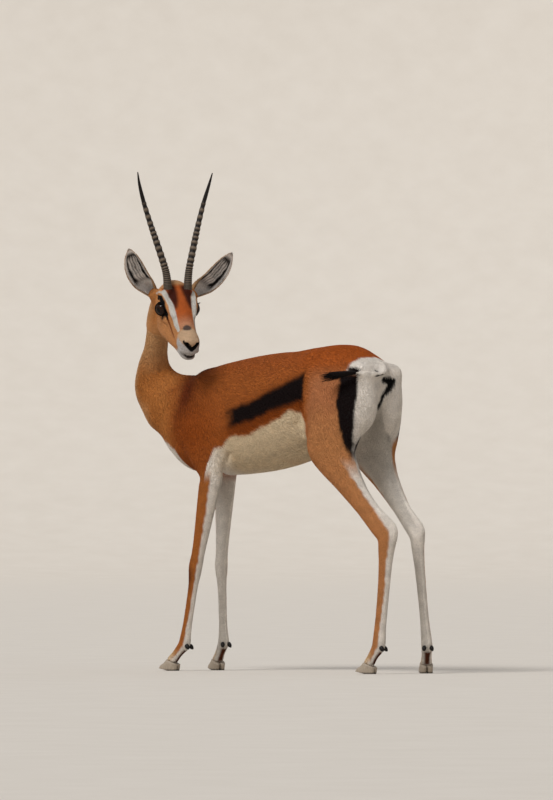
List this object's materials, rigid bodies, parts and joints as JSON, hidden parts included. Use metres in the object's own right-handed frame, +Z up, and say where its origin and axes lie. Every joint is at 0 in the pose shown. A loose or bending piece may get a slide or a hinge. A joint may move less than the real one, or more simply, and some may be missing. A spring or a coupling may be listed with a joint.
{
  "type": "standing gazelle model",
  "caption": "Life-size Grant's gazelle doe, standing on all four hooves and looking back over the left shoulder.",
  "frame": {"origin": "on the floor, under the middle of the whole animal's box", "axes": "-X is the way the trunk faces, -Y is the animal's left, +Z is up; the head is turned back over the left side"},
  "size_m": [0.9708, 0.3874, 1.331],
  "materials": {
    "rufous_coat": "short smooth rufous coat, modelled as a plain surface",
    "pale_coat": "short pale coat of legs, ears and tail",
    "dark_hair": "long black hair of the tail's tuft",
    "horn_sheath": "dark horn of horns, hooves and dewclaws",
    "eye_gloss": "dark wet eye"
  },
  "bodies": {
    "root": {"dewclaw_fore_left_inner": "horn_sheath", "dewclaw_fore_left_outer": "horn_sheath", "dewclaw_fore_right_inner": "horn_sheath", "dewclaw_fore_right_outer": "horn_sheath", "dewclaw_hind_left_inner": "horn_sheath", "dewclaw_hind_left_outer": "horn_sheath", "dewclaw_hind_right_inner": "horn_sheath", "dewclaw_hind_right_outer": "horn_sheath", "ear_left": "pale_coat", "ear_right": "pale_coat", "eye_left": "eye_gloss", "eye_right": "eye_gloss", "head": "rufous_coat", "hoof_fore_left_inner": "horn_sheath", "hoof_fore_left_outer": "horn_sheath", "hoof_fore_right_inner": "horn_sheath", "hoof_fore_right_outer": "horn_sheath", "hoof_hind_left_inner": "horn_sheath", "hoof_hind_left_outer": "horn_sheath", "hoof_hind_right_inner": "horn_sheath", "hoof_hind_right_outer": "horn_sheath", "horn_left": "horn_sheath", "horn_right": "horn_sheath", "leg_fore_left": "pale_coat", "leg_fore_right": "pale_coat", "leg_hind_left": "pale_coat", "leg_hind_right": "pale_coat", "neck": "rufous_coat", "tail": "pale_coat", "tail_tuft": "dark_hair", "torso": "rufous_coat"}
  },
  "joints": []
}
